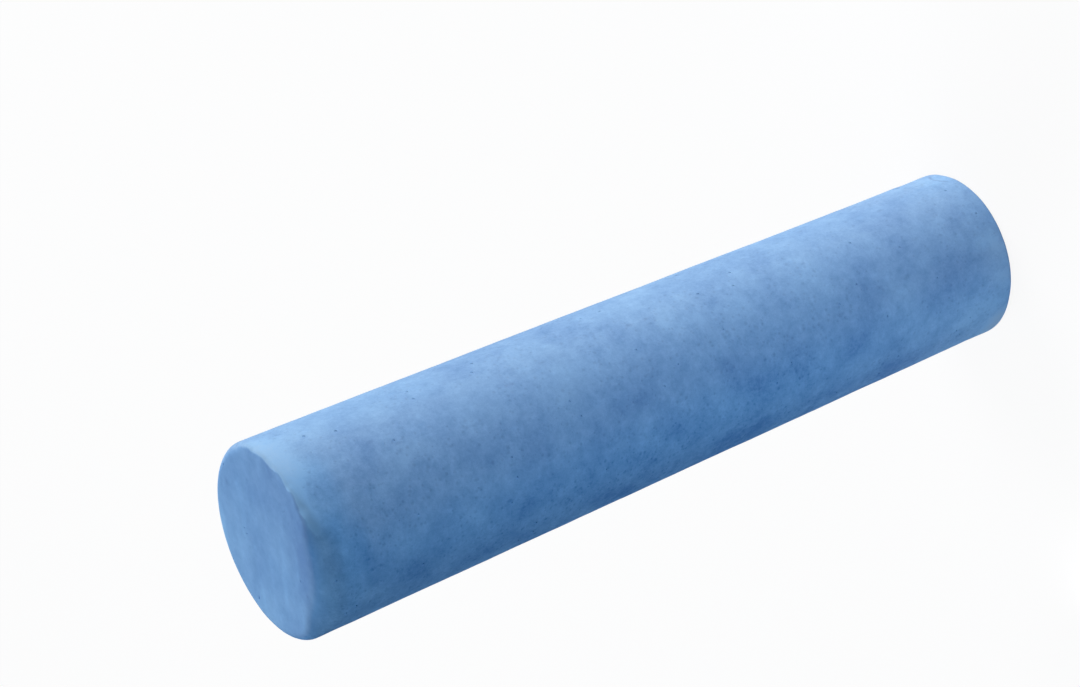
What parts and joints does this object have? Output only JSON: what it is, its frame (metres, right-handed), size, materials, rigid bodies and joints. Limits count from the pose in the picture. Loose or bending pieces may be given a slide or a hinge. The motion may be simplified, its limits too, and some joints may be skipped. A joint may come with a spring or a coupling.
{
  "type": "chalk stick",
  "caption": "Thick tapered round stick of blue chalk with flat ends, softly rounded rims and a worn lower edge.",
  "frame": {"origin": "middle of the narrow end, which the stick stands on", "axes": "+Z along the stick, from the narrow end to the wide one. +X and +Y lie in the plane of the narrow end. The side seen best in the source view faces -Y."},
  "size_m": [0.025, 0.025, 0.1074],
  "materials": {
    "chalk": "matte, dusty"
  },
  "bodies": {
    "root": {"chalk_stick": "chalk"}
  },
  "joints": []
}
